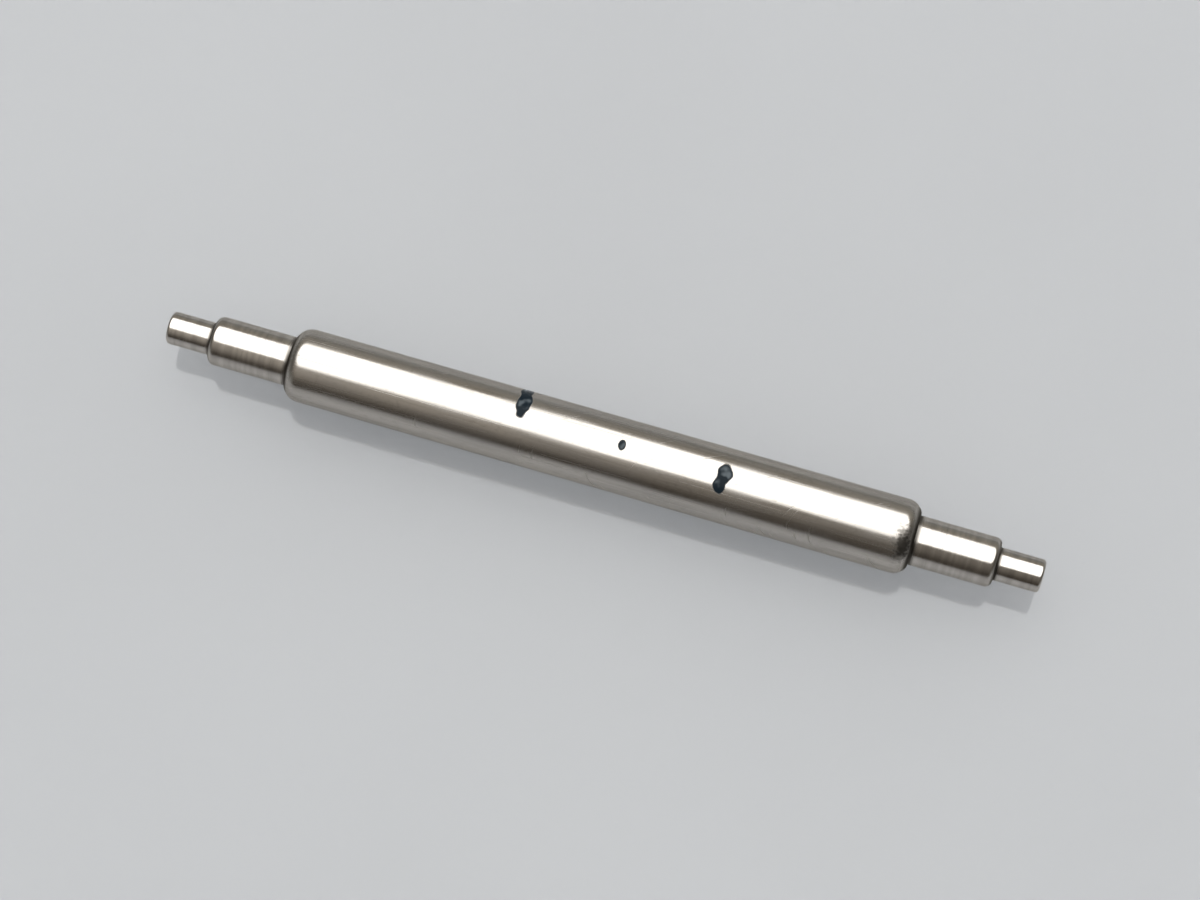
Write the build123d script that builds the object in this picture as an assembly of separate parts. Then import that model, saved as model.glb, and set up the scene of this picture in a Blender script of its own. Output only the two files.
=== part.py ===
from build123d import *
import os

# A spring bar: the sprung pin that joins a watch strap to the lugs of a watch case. It lies along X, with its
# middle at the origin. A thin sleeve holds a coil spring, which pushes a plunger out of each end.

# Lengths along the bar, in millimetres: travel is how far each plunger goes in, and pressed_shoulder is what
# then still stands out of the sleeve
sleeve_length = 15.4
travel = 1.6
pressed_shoulder = 0.4
tip_length = 1.1
lip_length = 0.3
roll_depth = 0.36
collar_length = 0.6
spigot_length = 1.2

# Across the bar: collar_step is how far a collar stands out from its shoulder, which is what the lip holds
sleeve_diameter = 1.8
wall = 0.15
collar_step = 0.12
tip_diameter = 0.8

# Clearances on the radius
mouth_clearance = 0.03
collar_clearance = 0.03
coil_clearance = 0.1
spigot_clearance = 0.08

# The spring
wire_diameter = 0.22
turns = 20

# The sleeve's flat rim beside the mouth, and the plungers' edges as shares of the step, radius or length that
# they soften
rim_width = 0.04
shoulder_round_share = 0.8
root_round_share = 0.1
tip_bevel_share = 0.2
collar_bevel_share = 0.1
spigot_bevel_share = 0.25

# What the spring is measured with
points_per_turn = 24

# What follows from the sizes above
sleeve_end = sleeve_length / 2
lip_face = sleeve_end - lip_length
spring_seat = lip_face - collar_length
spigot_end = spring_seat - spigot_length
shoulder_end = sleeve_end + travel + pressed_shoulder
tip_end = shoulder_end + tip_length

sleeve_radius = sleeve_diameter / 2
bore_radius = sleeve_radius - wall
collar_radius = bore_radius - collar_clearance
shoulder_radius = collar_radius - collar_step
tip_radius = tip_diameter / 2
mouth_radius = shoulder_radius + mouth_clearance
rim_radius = mouth_radius + rim_width
wire_radius = wire_diameter / 2
coil_radius = bore_radius - coil_clearance - wire_radius
spigot_radius = coil_radius - wire_radius - spigot_clearance

spring_length = 2 * spring_seat
spring_pitch = spring_length / turns


def turned(outline):
    """The solid that an outline makes when it is turned about X, from places along X and radii."""
    return revolve(make_face(outline), Axis.X)


def edge_at(solid, place, radius):
    """The round edge of a turned solid that has a place along X and a radius."""
    rings = solid.edges().filter_by(GeomType.CIRCLE)
    return rings.sort_by(lambda ring: abs(ring.arc_center.X - place) + abs(ring.radius - radius))[0]


def sleeve():
    """The outer tube, with both ends rolled in to a lip that the collars can't pass."""
    roll_start = sleeve_end - roll_depth
    roll = TangentArc((roll_start, sleeve_radius), (sleeve_end, rim_radius), tangent=(1, 0))
    lip = Polyline(
        (sleeve_end, rim_radius),
        (sleeve_end, mouth_radius),
        (lip_face, mouth_radius),
        (lip_face, bore_radius),
    )
    outside = Line((-roll_start, sleeve_radius), (roll_start, sleeve_radius))
    inside = Line((-lip_face, bore_radius), (lip_face, bore_radius))
    right_end = Curve() + [roll, lip]
    left_end = mirror(right_end, about=Plane.YZ)
    return turned(left_end + outside + right_end + inside)


def right_plunger():
    """One turned pin: the tip, the shoulder that slides in the mouth, the collar and the spring's spigot."""
    pin = turned(
        Polyline(
            (spigot_end, 0),
            (spigot_end, spigot_radius),
            (spring_seat, spigot_radius),
            (spring_seat, collar_radius),
            (lip_face, collar_radius),
            (lip_face, shoulder_radius),
            (shoulder_end, shoulder_radius),
            (shoulder_end, tip_radius),
            (tip_end, tip_radius),
            (tip_end, 0),
            close=True,
        )
    )
    step = shoulder_radius - tip_radius
    pin = fillet(edge_at(pin, shoulder_end, shoulder_radius), shoulder_round_share * step)
    pin = fillet(edge_at(pin, shoulder_end, tip_radius), root_round_share * step)
    pin = chamfer(edge_at(pin, tip_end, tip_radius), tip_bevel_share * tip_radius)
    pin = chamfer(edge_at(pin, spring_seat, collar_radius), collar_bevel_share * collar_length)
    return chamfer(edge_at(pin, spigot_end, spigot_radius), spigot_bevel_share * spigot_radius)


def left_plunger():
    """The same pin at the other end."""
    return mirror(right_plunger(), about=Plane.YZ)


def spring_line():
    """The wire's middle line, half a turn past each seat."""
    reach = spring_length + spring_pitch
    return Helix(spring_pitch, reach, coil_radius, center=(-reach / 2, 0, 0), direction=(1, 0, 0))


def coil_spring():
    """The compression spring between the two collars, its ends ground flat where they seat."""
    line = spring_line()
    section = Plane(origin=line @ 0, z_dir=line % 0) * Circle(wire_radius)
    coil = sweep(section, path=line, is_frenet=True)
    between_seats = Box(spring_length, sleeve_diameter, sleeve_diameter)
    return coil & between_seats


def least_gap(line):
    """The spring's least gap to itself, from points on its middle line at least half a turn apart."""
    count = turns * points_per_turn
    points = [line @ (step / count) for step in range(count + 1)]
    half_turn = points_per_turn // 2
    spans = [
        (other - point).length
        for step, point in enumerate(points)
        for other in points[step + half_turn : step + 2 * points_per_turn]
    ]
    return min(spans) - wire_diameter


pieces = {
    "sleeve": sleeve(),
    "coil_spring": coil_spring(),
    "left_plunger": left_plunger(),
    "right_plunger": right_plunger(),
}

os.makedirs("parts", exist_ok=True)
for name, solid in pieces.items():
    solid.label = name
    export_step(solid, f"parts/{name}.step")

print(f"length {2 * tip_end:.2f}, with both plungers pressed {2 * (tip_end - travel):.2f}")
print(f"spring: pitch {spring_pitch:.3f}, least gap between turns {least_gap(spring_line()):.3f}")
print(f"spring pressed at both ends: pitch {(spring_length - 2 * travel) / turns:.3f}")
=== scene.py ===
import math

import bmesh
import bpy
from mathutils import Matrix, Vector


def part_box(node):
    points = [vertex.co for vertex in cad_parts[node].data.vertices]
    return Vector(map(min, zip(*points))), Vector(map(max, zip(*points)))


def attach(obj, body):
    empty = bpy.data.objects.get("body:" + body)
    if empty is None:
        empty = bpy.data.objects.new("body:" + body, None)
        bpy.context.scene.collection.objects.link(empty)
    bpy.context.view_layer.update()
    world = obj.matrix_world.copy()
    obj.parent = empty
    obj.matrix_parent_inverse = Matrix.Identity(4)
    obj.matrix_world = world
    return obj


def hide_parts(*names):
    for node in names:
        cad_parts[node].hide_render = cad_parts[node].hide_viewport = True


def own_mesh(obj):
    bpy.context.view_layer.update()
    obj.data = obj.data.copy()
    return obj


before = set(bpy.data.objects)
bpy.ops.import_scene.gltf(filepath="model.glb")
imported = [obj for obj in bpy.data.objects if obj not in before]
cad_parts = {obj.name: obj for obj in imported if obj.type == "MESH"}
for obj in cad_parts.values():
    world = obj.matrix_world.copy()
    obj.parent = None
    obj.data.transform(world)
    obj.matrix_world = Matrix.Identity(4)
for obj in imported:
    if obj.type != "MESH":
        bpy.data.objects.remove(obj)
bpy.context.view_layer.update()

# One spring bar, in metres, as it lies on a glossy pale table. Its long axis is X, and its middle is the
# origin.

mm = 0.001
micron = 1e-6

# Sizes that the frame gives
sleeve_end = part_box("sleeve")[1].x
sleeve_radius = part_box("sleeve")[1].y
spigot_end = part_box("right_plunger")[0].x
tip_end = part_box("right_plunger")[1].x
collar_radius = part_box("right_plunger")[1].y
spring_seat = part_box("coil_spring")[1].x
spring_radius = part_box("coil_spring")[1].y

# Sizes inside those boxes
wall = 0.15 * mm
lip_length = 0.3 * mm
roll_depth = 0.36 * mm
rim_width = 0.04 * mm
collar_step = 0.12 * mm
tip_length = 1.1 * mm
tip_radius = 0.4 * mm
mouth_clearance = 0.03 * mm
spigot_clearance = 0.08 * mm
wire_radius = 0.11 * mm
turns = 20

lip_face = sleeve_end - lip_length
bore_radius = sleeve_radius - wall
shoulder_end = tip_end - tip_length
shoulder_radius = collar_radius - collar_step
mouth_radius = shoulder_radius + mouth_clearance
rim_radius = mouth_radius + rim_width
coil_radius = spring_radius - wire_radius
spigot_radius = coil_radius - wire_radius - spigot_clearance

# How much each edge is rounded off
rim_round = 0.03 * mm
lip_round = 0.02 * mm
shoulder_round = 0.16 * mm
root_round = 0.02 * mm
tip_round = 0.08 * mm
collar_round = 0.05 * mm
spigot_round = 0.08 * mm

# How finely the meshes are made: sides round the bar, the angle that one facet of a rounded edge turns and
# the least number of facets, and how far from a rounded edge the next ring lies, which keeps the shading of
# the straight stretch straight
sides = 128
facet = math.radians(12)
least_facets = 2
support = 0.012 * mm
turn_steps = 36
wire_sides = 14

# Points nearer than this where the wire is cut off are merged
weld = 1 * micron


# Outlines and turned pieces


def rounded(corners, closed):
    """An outline through (place along X, radius, rounding) corners, each rounded off by an arc."""
    outline = []
    for index, (place, radius, rounding) in enumerate(corners):
        here = Vector((place, radius))
        inner = closed or 0 < index < len(corners) - 1
        if not (inner and rounding):
            outline.append(here)
            continue
        back = (Vector(corners[index - 1][:2]) - here).normalized()
        ahead = (Vector(corners[(index + 1) % len(corners)][:2]) - here).normalized()
        half = back.angle(ahead) / 2
        reach = rounding / math.tan(half)
        centre = here + (back + ahead).normalized() * rounding / math.sin(half)
        spoke = here + back * reach - centre
        turn = spoke.angle_signed(here + ahead * reach - centre)
        steps = max(least_facets, round(abs(turn) / facet))
        outline.append(here + back * (reach + support))
        for step in range(steps + 1):
            outline.append(centre + Matrix.Rotation(-turn * step / steps, 2) @ spoke)
        outline.append(here + ahead * (reach + support))
    return outline


def turned(name, outline, closed):
    """A turned piece: each outline point, (place along X, radius), gives a ring, or one point on the axis."""
    mesh = bmesh.new()
    angles = [2 * math.pi * side / sides for side in range(sides)]
    rings = []
    for place, radius in outline:
        if radius == 0:
            rings.append([mesh.verts.new((place, 0, 0))])
            continue
        spots = [(place, radius * math.sin(angle), radius * math.cos(angle)) for angle in angles]
        rings.append([mesh.verts.new(spot) for spot in spots])
    following = rings[1:] + rings[:1] if closed else rings[1:]
    for one, other in zip(rings, following):
        for side in range(sides):
            after = (side + 1) % sides
            corners = [one[side % len(one)], one[after % len(one)]]
            corners += [other[after % len(other)], other[side % len(other)]]
            mesh.faces.new(list(dict.fromkeys(corners)))
    bmesh.ops.recalc_face_normals(mesh, faces=mesh.faces)
    return placed(name, mesh)


def placed(name, mesh):
    """A shaded object of a bmesh, in the scene."""
    data = bpy.data.meshes.new(name)
    mesh.to_mesh(data)
    mesh.free()
    data.shade_smooth()
    piece = bpy.data.objects.new(name, data)
    bpy.context.scene.collection.objects.link(piece)
    return piece


def rolled_end():
    """The right end's outline, from the outside's straight stretch round the roll and the lip to the bore."""
    drop = sleeve_radius - rim_radius
    roll_radius = (roll_depth**2 + drop**2) / (2 * drop)
    roll_start = sleeve_end - roll_depth
    roll_angle = math.asin(roll_depth / roll_radius)
    steps = 2 * round(roll_angle / facet)
    roll = []
    for step in range(steps):
        angle = roll_angle * step / steps
        place = roll_start + roll_radius * math.sin(angle)
        radius = sleeve_radius - roll_radius * (1 - math.cos(angle))
        roll.append((place, radius, 0))
    return [
        (roll_start - support, sleeve_radius, 0),
        *roll,
        (sleeve_end, rim_radius, rim_round),
        (sleeve_end, mouth_radius, lip_round),
        (lip_face, mouth_radius, lip_round),
        (lip_face, bore_radius, lip_round),
    ]


def sleeve():
    """The outer tube with both ends rolled in."""
    right = rolled_end()
    left = [(-place, radius, rounding) for place, radius, rounding in reversed(right)]
    return turned("sleeve_tube", rounded(right + left, closed=True), closed=True)


def plunger(name, way):
    """A turned pin: tip, shoulder, collar and spigot, its tip towards +X for a way of 1 and -X for -1."""
    corners = [
        (tip_end, 0, 0),
        (tip_end, tip_radius, tip_round),
        (shoulder_end, tip_radius, root_round),
        (shoulder_end, shoulder_radius, shoulder_round),
        (lip_face, shoulder_radius, root_round),
        (lip_face, collar_radius, lip_round),
        (spring_seat, collar_radius, collar_round),
        (spring_seat, spigot_radius, root_round),
        (spigot_end, spigot_radius, spigot_round),
        (spigot_end, 0, 0),
    ]
    corners = [(way * place, radius, rounding) for place, radius, rounding in corners]
    return turned(name, rounded(corners, closed=False), closed=False)


def wire_ring(mesh, angle):
    """The wire's ring of points where the coil has turned by an angle from the bar's middle."""
    rise = spring_seat / (math.pi * turns)
    out = Vector((0, math.cos(angle), math.sin(angle)))
    turning = Vector((0, -math.sin(angle), math.cos(angle)))
    run = (Vector((rise, 0, 0)) + turning * coil_radius).normalized()
    across = run.cross(out)
    middle = Vector((rise * angle, 0, 0)) + out * coil_radius
    spokes = [2 * math.pi * side / wire_sides for side in range(wire_sides)]
    offs = [math.cos(spoke) * out + math.sin(spoke) * across for spoke in spokes]
    return [mesh.verts.new(middle + wire_radius * off) for off in offs]


def half_coil(name, way):
    """The spring's wire from the bar's middle to one seat, where it is ground flat."""
    mesh = bmesh.new()
    steps = (turns + 1) * turn_steps // 2
    rings = [wire_ring(mesh, way * 2 * math.pi * step / turn_steps) for step in range(steps + 1)]
    for one, other in zip(rings, rings[1:]):
        for side in range(wire_sides):
            after = (side + 1) % wire_sides
            mesh.faces.new([one[side], one[after], other[after], other[side]])
    mesh.faces.new(rings[0])
    mesh.faces.new(rings[-1])
    everything = list(mesh.verts) + list(mesh.edges) + list(mesh.faces)
    seat = {"plane_co": Vector((way * spring_seat, 0, 0)), "plane_no": Vector((way, 0, 0))}
    cut = bmesh.ops.bisect_plane(mesh, geom=everything, dist=weld, clear_outer=True, **seat)
    rim = [item for item in cut["geom_cut"] if isinstance(item, bmesh.types.BMEdge)]
    bmesh.ops.holes_fill(mesh, edges=rim)
    bmesh.ops.remove_doubles(mesh, verts=mesh.verts, dist=weld)
    bmesh.ops.recalc_face_normals(mesh, faces=mesh.faces)
    if mesh.calc_volume(signed=True) < 0:
        bmesh.ops.reverse_faces(mesh, faces=mesh.faces)
    return placed(name, mesh)


# What the materials are made with. Tones are linear red, green and blue, with 1 for a solid one.


def add(tree, kind, inputs, **settings):
    """A shader node with its settings made, and its inputs set or linked."""
    made = tree.nodes.new(kind)
    for setting, value in settings.items():
        setattr(made, setting, value)
    for socket, value in inputs.items():
        if isinstance(value, bpy.types.NodeSocket):
            tree.links.new(value, made.inputs[socket])
        else:
            made.inputs[socket].default_value = value
    return made


def maths(tree, operation, one, other=0.0):
    """The result of one operation on two numbers or sockets."""
    return add(tree, "ShaderNodeMath", {0: one, 1: other}, operation=operation).outputs[0]


def plus_share(tree, total, value, share):
    """A total with a share of a value added."""
    return maths(tree, "ADD", total, maths(tree, "MULTIPLY", value, share))


def length_of(tree, vector):
    return add(tree, "ShaderNodeVectorMath", {0: vector}, operation="LENGTH").outputs["Value"]


def parts_of(tree, vector):
    return add(tree, "ShaderNodeSeparateXYZ", {0: vector}).outputs


def ramp(tree, value, low, high, start=0.0, end=1.0):
    """A value's smooth step from start at low to end at high."""
    inputs = {"Value": value, "From Min": low, "From Max": high, "To Min": start, "To Max": end}
    return add(tree, "ShaderNodeMapRange", inputs, interpolation_type="SMOOTHSTEP").outputs[0]


def grain(tree, places, waves, detail=2.0):
    """Noise from 0 to 1 with so many waves to the millimetre along X, Y and Z."""
    per_metre = [count / mm for count in waves]
    stretched = add(tree, "ShaderNodeVectorMath", {0: places, 1: per_metre}, operation="MULTIPLY")
    inputs = {"Vector": stretched.outputs[0], "Scale": 1.0, "Detail": detail}
    return add(tree, "ShaderNodeTexNoise", inputs).outputs["Fac"]


def blend(tree, share, one, other):
    """Colour one at a share of 0 and the other at 1. A Mix node's colours are inputs 6 and 7 and output 2."""
    mix = add(tree, "ShaderNodeMix", {"Factor": share, 6: one, 7: other}, data_type="RGBA")
    return mix.outputs[2]


def new_material(name, **uniform):
    """A material with its node tree, shader and the piece's own coordinates.

    Values that are the same all over the surface are given by their sockets' names, with _ for a space.
    """
    material = bpy.data.materials.new(name)
    material.use_nodes = True
    tree = material.node_tree
    shader = tree.nodes["Principled BSDF"]
    for socket, value in uniform.items():
        shader.inputs[socket.replace("_", " ")].default_value = value
    places = tree.nodes.new("ShaderNodeTexCoord").outputs["Object"]
    return material, tree, shader, places


def finish_shader(tree, shader, tone, rough, heights):
    """Links a shader's colour, roughness and relief, which is a list of (noise, height) pairs."""
    total = 0.0
    for noise, height in heights:
        total = maths(tree, "ADD", maths(tree, "MULTIPLY", noise, height), total)
    bump = add(tree, "ShaderNodeBump", {"Strength": 1.0, "Distance": 1.0, "Height": total})
    tree.links.new(tone, shader.inputs["Base Color"])
    tree.links.new(rough, shader.inputs["Roughness"])
    tree.links.new(bump.outputs["Normal"], shader.inputs["Normal"])


def lathe_places(tree, places):
    """Coordinates whose X runs along a turned surface, down its faces too, so that noise makes rings."""
    parts = parts_of(tree, places)
    across = add(tree, "ShaderNodeCombineXYZ", {1: parts[1], 2: parts[2]}).outputs[0]
    along = maths(tree, "ADD", maths(tree, "ABSOLUTE", parts[0]), length_of(tree, across))
    return add(tree, "ShaderNodeCombineXYZ", {0: along, 1: parts[1], 2: parts[2]}).outputs[0]


# Waves to the millimetre of a speck's uneven edge, their middle value, and how far they move the edge, as a
# share of the speck's half size
edge_waves = (3.1, 3.1, 3.1)
edge_detail = 1.5
noise_middle = 0.5
unevenness = 0.9

# The share of its reach within which the darkening at a root, soiling and painted shade, is at its full
# strength
dirt_and_shade_core = 0.2


def speck(tree, places, along, turn, half_length, half_width):
    """How far a point is from a speck's middle, as a share of the way to its uneven edge.

    The speck's place is given along the sleeve and as the angle round it from the top.
    """
    middle = (along, sleeve_radius * math.sin(turn), sleeve_radius * math.cos(turn))
    off = add(tree, "ShaderNodeVectorMath", {0: places, 1: middle}, operation="SUBTRACT").outputs[0]
    stretch = (1 / half_length, 1 / half_width, 1 / half_width)
    shares = add(tree, "ShaderNodeVectorMath", {0: off, 1: stretch}, operation="MULTIPLY").outputs[0]
    waves = grain(tree, places, edge_waves, edge_detail)
    centred = maths(tree, "SUBTRACT", waves, noise_middle)
    return plus_share(tree, length_of(tree, shares), centred, unevenness)


def ring_of_dirt_and_shade(tree, along, place, reach):
    """1 at a place along the bar, on both its sides, fading to 0 within a reach of it.

    The ring is partly soiling and partly painted shade in the root there.
    """
    off = maths(tree, "ABSOLUTE", maths(tree, "SUBTRACT", maths(tree, "ABSOLUTE", along), place))
    return ramp(tree, off, reach, reach * dirt_and_shade_core)


# Finishes. Waves are counts to the millimetre along X, Y and Z. A range is where in a noise a mark starts and
# where it is full, and a share is how much of its tone it then brings.

edge_tint = (0.62, 0.60, 0.56, 1)
# A dark tone for soiling, for painted shade in the roots and for a painted dark reflection on the right roll
dirt_and_shade_tone = (0.04, 0.036, 0.03, 1)
middle_range = (0.3, 0.7)
wide_range = (0.25, 0.75)

# The sleeve's drawn steel: patches of two tones, streaks and pores
bright_drawn = (0.64, 0.60, 0.55, 1)
dull_drawn = (0.57, 0.54, 0.505, 1)
drawn_roughness = (0.16, 0.26)
patch_waves = (0.5, 2.5, 2.5)
patch_detail = 3.0
streak_tone = (0.43, 0.40, 0.36, 1)
streak_waves = (0.3, 14, 14)
streak_range = (0.5, 0.7)
pore_tone = (0.44, 0.41, 0.37, 1)
pore_waves = (9, 12, 12)
pore_detail = 3.0
pore_range = (0.5, 0.75)
streak_share = 0.4

# Hairlines along it, and slanting scuffs
scratch_tone = (0.30, 0.28, 0.25, 1)
scratch_share = 0.35
scratch_roughness = 0.12
hairline_waves = (0.35, 38, 38)
hairline_range = (0.72, 0.80)
scuff_waves = (30, 1.1, 1.1)
scuff_range = (0.76, 0.84)
scuff_tilt = (0.3, 0.5, 0.9)

# Tool marks on its rolled ends
roll_mark_tone = (0.34, 0.32, 0.29, 1)
roll_mark_waves = (34, 0.3, 0.3)
roll_mark_range = (0.4, 0.7)
roll_mark_share = 0.5

# Darkening at its mouths, partly soiling and partly painted shade in the roots, and a dark patch low on its
# right roll, partly a smudge and partly a painted dark reflection, whose edge the pores break up
mouth_dirt_and_shade = 0.14 * mm
# The dark patch on the right roll: a smudge together with a painted dark reflection
smudge_and_reflection_spot = (7.48 * mm, math.radians(-31), 0.24 * mm, 0.42 * mm)
smudge_and_reflection_mottling = 1.6
smudge_and_reflection_range = (2.25, 1.15)
dirt_and_shade_range = (0.2, 0.7)
drawn_dirt_and_shade_shares = (1.0, 0.9)
drawn_dirt_and_shade_roughness = 0.25

# Specks of ink on it: place along it, angle round it from the top, half length and half width. The first two
# run together into one, and so do the last two. The ink is paler inside its edge, in part where it is thin
# and in part as a painted highlight.
ink_spots = [
    (-2.01 * mm, math.radians(54), 0.15 * mm, 0.40 * mm),
    (-1.96 * mm, math.radians(20), 0.17 * mm, 0.40 * mm),
    (0.55 * mm, math.radians(-2), 0.10 * mm, 0.13 * mm),
    (3.05 * mm, math.radians(-2), 0.19 * mm, 0.27 * mm),
    (3.00 * mm, math.radians(-20), 0.15 * mm, 0.22 * mm),
]
ink_merging = 0.5
ink_edge_range = (1.08, 0.92)
thick_ink = (0.010, 0.017, 0.024, 1)
# Paler ink inside a speck's edge, partly thin ink and partly a painted highlight
thin_ink_and_highlight = (0.11, 0.13, 0.145, 1)
thin_and_highlight_waves = (4.3, 4.3, 4.3)
thin_and_highlight_range = (0.48, 0.68)
thin_and_highlight_inner_range = (0.95, 0.55)

# Its relief
tube_ring_waves = (26, 0.8, 0.8)
tube_wander_waves = (0.25, 1.4, 1.4)
tube_ring_height = 0.35 * micron
streak_height = 0.8 * micron
pore_height = 0.5 * micron
scratch_height = -0.5 * micron
tube_wander_height = 9 * micron
roll_mark_height = 0.8 * micron
ink_height = 3 * micron


def scratches(tree, places):
    """1 on hairlines along the sleeve and on slanting scuffs, and 0 beside them."""
    hairlines = ramp(tree, grain(tree, places, hairline_waves, detail=0.0), *hairline_range)
    tilt = {"Vector": places, "Rotation": scuff_tilt}
    askew = add(tree, "ShaderNodeVectorRotate", tilt, rotation_type="EULER_XYZ").outputs[0]
    scuffs = ramp(tree, grain(tree, askew, scuff_waves, detail=0.0), *scuff_range)
    return maths(tree, "MAXIMUM", hairlines, scuffs)


def roll_marks_of(tree, along, lathe):
    """Noise in rings on the rolled ends alone."""
    roll_start = sleeve_end - roll_depth
    at_roll = ramp(tree, maths(tree, "ABSOLUTE", along), roll_start, roll_start + roll_depth / 2)
    return maths(tree, "MULTIPLY", grain(tree, lathe, roll_mark_waves), at_roll)


def sleeve_dirt_and_shade(tree, places, along, patches, pores):
    """How much the sleeve darkens.

    At its mouths this is soiling and painted shade, and low on its right roll a soiled patch and a painted
    dark reflection.
    """
    # The patch on the right roll, partly a smudge and partly a painted dark reflection
    smudge_and_reflection = plus_share(tree, speck(tree, places, *smudge_and_reflection_spot), pores, smudge_and_reflection_mottling)
    smudge_and_reflection = ramp(tree, smudge_and_reflection, *smudge_and_reflection_range)
    dirt_and_shade = maths(tree, "MAXIMUM", ring_of_dirt_and_shade(tree, along, sleeve_end, mouth_dirt_and_shade), smudge_and_reflection)
    return maths(tree, "MULTIPLY", dirt_and_shade, ramp(tree, patches, *dirt_and_shade_range, *drawn_dirt_and_shade_shares))


def ink_marks(tree, places):
    """Where the ink is, from 0 to 1, and its colour, paler inside its edge: thin ink and a painted highlight.
    """
    reach, *others = [speck(tree, places, *spot) for spot in ink_spots]
    for other in others:
        joined = {0: reach, 1: other, 2: ink_merging}
        reach = add(tree, "ShaderNodeMath", joined, operation="SMOOTH_MIN").outputs[0]
    thin_and_highlight = ramp(tree, grain(tree, places, thin_and_highlight_waves, detail=1.0), *thin_and_highlight_range)
    thin_and_highlight = maths(tree, "MULTIPLY", thin_and_highlight, ramp(tree, reach, *thin_and_highlight_inner_range))
    return ramp(tree, reach, *ink_edge_range), blend(tree, thin_and_highlight, thick_ink, thin_ink_and_highlight)


def sleeve_steel():
    """Drawn stainless tube: streaks, pores, scratches, tool marks, soiling with painted shade and a painted
    dark reflection at its rolled ends, and ink.
    """
    uniform = {"Specular_IOR_Level": 0.12, "Specular_Tint": edge_tint}
    material, tree, shader, places = new_material("drawn_steel", **uniform)
    lathe = lathe_places(tree, places)
    along = parts_of(tree, places)[0]
    patches = grain(tree, places, patch_waves, patch_detail)
    streaks = grain(tree, places, streak_waves)
    pores = grain(tree, places, pore_waves, pore_detail)
    marks = scratches(tree, places)
    roll_marks = roll_marks_of(tree, along, lathe)
    dirt_and_shade = sleeve_dirt_and_shade(tree, places, along, patches, pores)
    ink, ink_tone = ink_marks(tree, places)

    tone = blend(tree, ramp(tree, patches, *middle_range), bright_drawn, dull_drawn)
    tone = blend(tree, ramp(tree, streaks, *streak_range, 0, streak_share), tone, streak_tone)
    tone = blend(tree, ramp(tree, pores, *pore_range, 0, streak_share), tone, pore_tone)
    tone = blend(tree, maths(tree, "MULTIPLY", marks, scratch_share), tone, scratch_tone)
    tone = blend(tree, ramp(tree, roll_marks, *roll_mark_range, 0, roll_mark_share), tone, roll_mark_tone)
    # Soiling with painted shade round the mouths, and a painted dark reflection on the right roll
    tone = blend(tree, dirt_and_shade, tone, dirt_and_shade_tone)
    tone = blend(tree, ink, tone, ink_tone)
    tree.links.new(maths(tree, "SUBTRACT", 1.0, ink), shader.inputs["Metallic"])
    rough = ramp(tree, patches, *wide_range, *drawn_roughness)
    rough = plus_share(tree, rough, marks, scratch_roughness)
    rough = plus_share(tree, rough, dirt_and_shade, drawn_dirt_and_shade_roughness)
    heights = [
        (grain(tree, lathe, tube_ring_waves), tube_ring_height),
        (streaks, streak_height),
        (pores, pore_height),
        (marks, scratch_height),
        (grain(tree, places, tube_wander_waves, detail=1.0), tube_wander_height),
        (roll_marks, roll_mark_height),
        (ink, ink_height),
    ]
    finish_shader(tree, shader, tone, rough, heights)
    return material


# The plungers' turned steel: broad bands of two tones, fine rings, and soiling with painted shade in the roots
bright_turned = (0.67, 0.63, 0.58, 1)
dull_turned = (0.54, 0.505, 0.465, 1)
band_waves = (5.5, 0.1, 0.1)
band_range = (0.35, 0.65)
ring_tone = (0.36, 0.335, 0.30, 1)
ring_waves = (22, 0.25, 0.25)
ring_range = (0.55, 0.72)
ring_share = 0.4
wander_waves = (0.5, 1.8, 1.8)
turned_roughness = (0.11, 0.18)
ring_rough_range = (0.4, 0.7)
ring_roughness = 0.06
# Darkening at the shoulder's root by the mouth and at the tip's root: soiling and painted shade
shoulder_dirt_and_shade = 0.12 * mm
tip_dirt_and_shade = 0.09 * mm
turned_dirt_and_shade_shares = (0.95, 0.7)
turned_dirt_and_shade_roughness = 0.2
ring_height = 0.9 * micron
band_height = 3 * micron
wander_height = 5 * micron


def pin_steel():
    """Turned stainless pin: rings from the cutting tool round it and on its faces.

    Its roots are darkened by soiling and by painted shade.
    """
    uniform = {"Metallic": 1.0, "Specular_Tint": edge_tint}
    material, tree, shader, places = new_material("turned_steel", **uniform)
    lathe = lathe_places(tree, places)
    rings = grain(tree, lathe, ring_waves)
    bands = grain(tree, lathe, band_waves, detail=1.0)
    wander = grain(tree, places, wander_waves, detail=1.0)
    along = parts_of(tree, places)[0]
    at_mouth = ring_of_dirt_and_shade(tree, along, sleeve_end, shoulder_dirt_and_shade)
    at_tip = ring_of_dirt_and_shade(tree, along, shoulder_end, tip_dirt_and_shade)
    cover = ramp(tree, wander, *middle_range, *turned_dirt_and_shade_shares)
    dirt_and_shade = maths(tree, "MULTIPLY", maths(tree, "MAXIMUM", at_mouth, at_tip), cover)

    tone = blend(tree, ramp(tree, bands, *band_range), bright_turned, dull_turned)
    tone = blend(tree, ramp(tree, rings, *ring_range, 0, ring_share), tone, ring_tone)
    # Painted shade, with soiling, in the roots
    tone = blend(tree, dirt_and_shade, tone, dirt_and_shade_tone)
    rough = ramp(tree, wander, *wide_range, *turned_roughness)
    rough = maths(tree, "ADD", rough, ramp(tree, rings, *ring_rough_range, 0, ring_roughness))
    rough = plus_share(tree, rough, dirt_and_shade, turned_dirt_and_shade_roughness)
    heights = [(rings, ring_height), (bands, band_height), (wander, wander_height)]
    finish_shader(tree, shader, tone, rough, heights)
    return material


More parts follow.
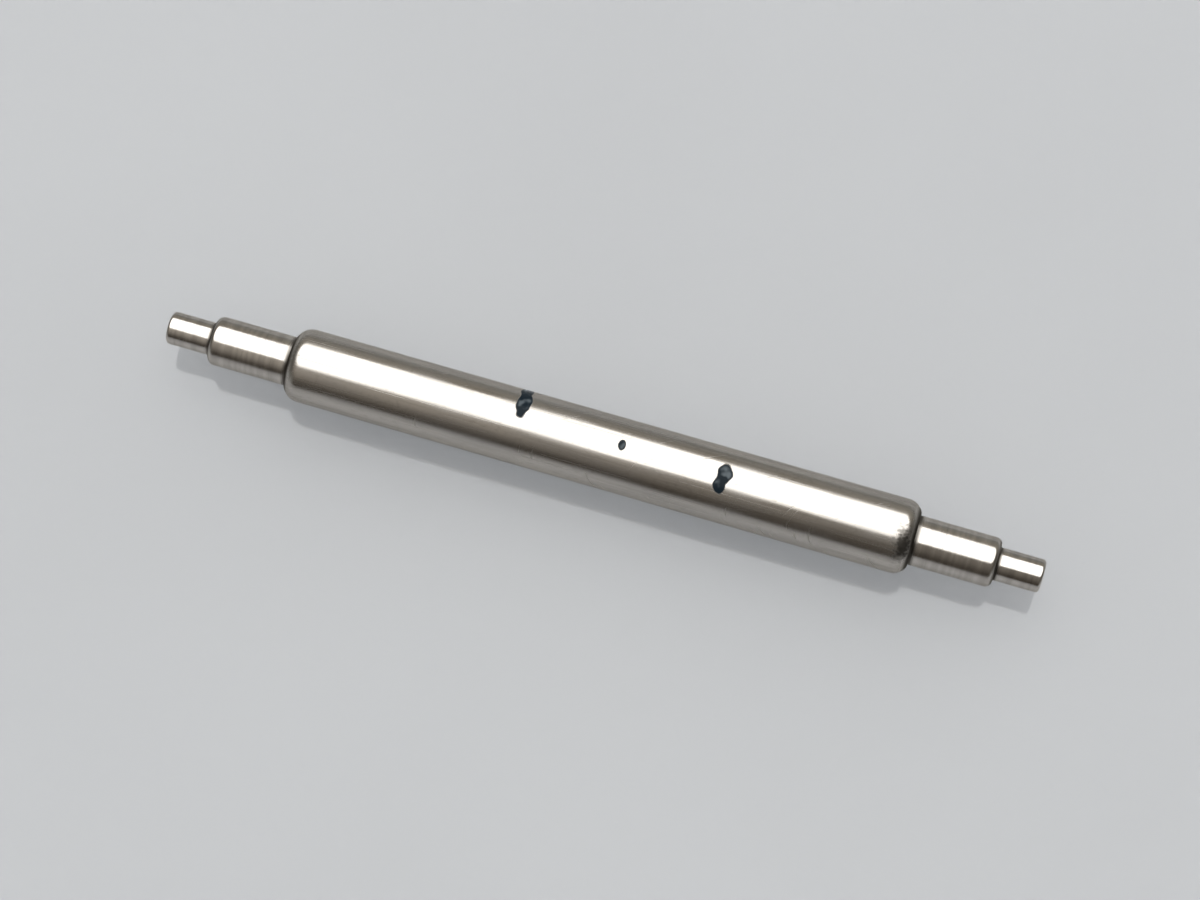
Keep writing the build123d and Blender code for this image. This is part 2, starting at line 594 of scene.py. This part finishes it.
# The spring's drawn wire, a little darker and duller than the rest
bright_wire = (0.52, 0.505, 0.49, 1)
dull_wire = (0.40, 0.385, 0.365, 1)
spot_waves = (6, 6, 6)
spot_detail = 4.0
spot_range = (0.35, 0.7)
spot_rough_range = (0.2, 0.8)
wire_roughness = (0.28, 0.42)
spot_height = 1.5 * micron


def wire_steel():
    """Drawn spring wire with darker spots."""
    material, tree, shader, places = new_material("spring_wire_steel", Metallic=1.0)
    spots = grain(tree, places, spot_waves, spot_detail)
    tone = blend(tree, ramp(tree, spots, *spot_range), bright_wire, dull_wire)
    rough = ramp(tree, spots, *spot_rough_range, *wire_roughness)
    finish_shader(tree, shader, tone, rough, [(spots, spot_height)])
    return material


# The bar's pieces


def dress(piece, body, node, material):
    """Gives a piece its material and its body, and hides the node of the frame that it stands for."""
    piece.data.materials.append(material)
    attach(piece, body)
    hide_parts(node)


tube = sleeve()
dress(tube, "sleeve", "sleeve", sleeve_steel())
turned_steel = pin_steel()
spring_steel = wire_steel()
for side_name, way in (("left", -1), ("right", 1)):
    pin = plunger(f"{side_name}_pin", way)
    dress(pin, f"{side_name}_plunger", f"{side_name}_plunger", turned_steel)
    coil = half_coil(f"{side_name}_coil", way)
    dress(coil, "spring", "coil_spring", spring_steel)
    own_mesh(coil)


# The table: a glossy surface that light goes into a little, so that shadows on it stay pale
floor_half = 1.5
dark_table = (0.460, 0.473, 0.494, 1)
pale_table = (0.478, 0.492, 0.513, 1)
cloud_waves = (0.06, 0.06, 0.06)


def table_gloss():
    """Pale table with faint clouds."""
    uniform = {
        "Subsurface_Weight": 1.0,
        "Subsurface_Radius": (1.0, 1.0, 1.0),
        "Subsurface_Scale": 25 * mm,
        "Roughness": 0.07,
        "IOR": 1.55,
        "Specular_IOR_Level": 0.6,
    }
    material, tree, shader, places = new_material("table_gloss", **uniform)
    cloud = ramp(tree, grain(tree, places, cloud_waves), *middle_range)
    tree.links.new(blend(tree, cloud, dark_table, pale_table), shader.inputs["Base Color"])
    return material


def table():
    """The floor that the bar lies on."""
    mesh = bpy.data.meshes.new("table")
    places = [(x * floor_half, y * floor_half) for x, y in ((-1, -1), (1, -1), (1, 1), (-1, 1))]
    mesh.from_pydata([(*place, -sleeve_radius) for place in places], [], [(0, 1, 2, 3)])
    mesh.materials.append(table_gloss())
    floor = bpy.data.objects.new("table", mesh)
    bpy.context.scene.collection.objects.link(floor)


table()


# Light: a room that is dark on the camera's side, most of all to the right, and at the bar's ends, with a
# bright ceiling panel and a fainter band low down. Tones are of the light that comes from each part of the
# room. Ranges are of the direction's share along X, Y or Z, as named.

near_tone = (0.065, 0.057, 0.048, 1)
overhead_tone = (0.45, 0.42, 0.38, 1)
overhead_z_range = (0.06, 1.0)
right_x_range = (-0.14, 0.0)
right_dimming = (1.0, 0.4)
far_tone = (0.27, 0.25, 0.215, 1)
far_y_range = (0.1, 0.7)
end_tone = (0.08, 0.074, 0.065, 1)
end_x_range = (0.66, 0.95)
low_tone = (0.25, 0.25, 0.24, 1)
low_end_tone = (0.20, 0.20, 0.19, 1)
low_z_range = (0.5, 0.0)
low_y_range = (-0.95, -0.7)

# The panel's edges are tangents from the vertical, and softness is the share of its half size over which it
# fades. A direction that rises less than least_rise counts as rising by that, which keeps the tangents finite.
panel_tone = (2.4, 2.4, 2.38, 1)
panel_near = math.tan(math.radians(25))
panel_far = math.tan(math.radians(52))
panel_left = math.tan(math.radians(48))
panel_right = math.tan(math.radians(42))
panel_softness = 0.2
least_rise = 0.01


def panel_share(tree, towards, axis, start, end):
    """How far a direction is from the panel's middle along an axis, as a share of the panel's half size."""
    slope = maths(tree, "DIVIDE", towards[axis], maths(tree, "MAXIMUM", towards[2], least_rise))
    off = maths(tree, "SUBTRACT", slope, (start + end) / 2)
    return maths(tree, "DIVIDE", off, (end - start) / 2)


def panel_of(tree, towards):
    """1 where a direction meets the panel, fading to 0 past its rounded edge."""
    across = panel_share(tree, towards, 0, -panel_left, panel_right)
    deep = panel_share(tree, towards, 1, -panel_near, panel_far)
    spread = add(tree, "ShaderNodeCombineXYZ", {0: across, 1: deep}).outputs[0]
    edge = (1 + panel_softness / 2, 1 - panel_softness / 2)
    return ramp(tree, length_of(tree, spread), *edge)


def room():
    """The world that lights the bar."""
    world = bpy.data.worlds.new("room")
    bpy.context.scene.world = world
    world.use_nodes = True
    tree = world.node_tree
    towards = parts_of(tree, tree.nodes.new("ShaderNodeTexCoord").outputs["Generated"])
    upward = maths(tree, "MAXIMUM", towards[2], 0.0)

    dimming = ramp(tree, towards[0], *right_x_range, *right_dimming)
    overhead = maths(tree, "MULTIPLY", ramp(tree, upward, *overhead_z_range), dimming)
    tone = blend(tree, overhead, near_tone, overhead_tone)
    tone = blend(tree, ramp(tree, towards[1], *far_y_range), tone, far_tone)
    ends = ramp(tree, maths(tree, "ABSOLUTE", towards[0]), *end_x_range)
    tone = blend(tree, ends, tone, end_tone)
    low = maths(tree, "MULTIPLY", ramp(tree, upward, *low_z_range), ramp(tree, towards[1], *low_y_range))
    tone = blend(tree, low, tone, blend(tree, ends, low_tone, low_end_tone))
    tone = blend(tree, panel_of(tree, towards), tone, panel_tone)
    tree.links.new(tone, tree.nodes["Background"].inputs["Color"])


room()


# The camera, which looks at the bar's middle

elevation = math.radians(70.5)
azimuth = math.radians(16.9)
distance = 68 * mm
focal_length = 86
clip_start = 1 * mm

camera_data = bpy.data.cameras.new("camera")
camera_data.lens = focal_length
camera_data.clip_start = clip_start
camera = bpy.data.objects.new("camera", camera_data)
level = math.cos(elevation)
back = Vector((math.sin(azimuth) * level, -math.cos(azimuth) * level, math.sin(elevation)))
camera.location = back * distance
camera.rotation_euler = (-back).to_track_quat("-Z", "Y").to_euler()
bpy.context.scene.collection.objects.link(camera)
bpy.context.scene.camera = camera
bpy.context.scene.view_settings.view_transform = "Standard"
